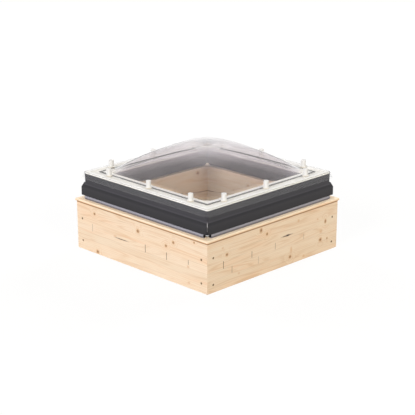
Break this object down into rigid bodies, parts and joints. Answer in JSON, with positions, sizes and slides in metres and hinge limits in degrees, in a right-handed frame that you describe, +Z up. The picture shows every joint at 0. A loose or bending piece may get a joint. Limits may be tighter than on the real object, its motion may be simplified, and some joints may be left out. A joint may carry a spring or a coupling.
{
  "type": "flat roof skylight",
  "caption": "Square flat-roof skylight: a clear double-skin dome on a hollow plastic frame, over a timber kerb with tube seals.",
  "frame": {"origin": "middle of the kerb's underside, on the roof deck", "axes": "+Z up out of the roof, X and Y square to the kerb's sides, front is -Y"},
  "size_m": [1.012, 1.012, 0.5922],
  "materials": {
    "pine": "planed and unpainted",
    "zinc_steel": "yellow zinc plated",
    "seal_rubber": "matt extruded",
    "anthracite_pvc": "satin extruded, welded corners",
    "white_pvc": "smooth",
    "white_foam": "closed-cell foam",
    "grey_foam": "closed-cell foam",
    "clear_acrylic": "clear, polished",
    "stainless_steel": "plain",
    "cap_plastic": "moulded"
  },
  "bodies": {
    "kerb": {"front_wall": "pine", "right_wall": "pine", "back_wall": "pine", "left_wall": "pine", "front_strip": "pine", "right_strip": "pine", "back_strip": "pine", "left_strip": "pine", "front_seal": "seal_rubber", "right_seal": "seal_rubber", "back_seal": "seal_rubber", "left_seal": "seal_rubber", "corner_screws": "zinc_steel"},
    "dome_unit": {"dome_frame": "anthracite_pvc", "seat_ring": "white_pvc", "bed_tape": "white_foam", "gap_tape": "grey_foam", "rim_tape": "white_foam", "inner_dome": "clear_acrylic", "outer_dome": "clear_acrylic", "fixing_screws": "stainless_steel", "fixing_caps": "cap_plastic"}
  },
  "joints": [
    {"name": "dome_lift", "type": "slide", "parent": "kerb", "child": "dome_unit", "axis": [0, 0, 1], "range_m": [0, 0.48]}
  ]
}
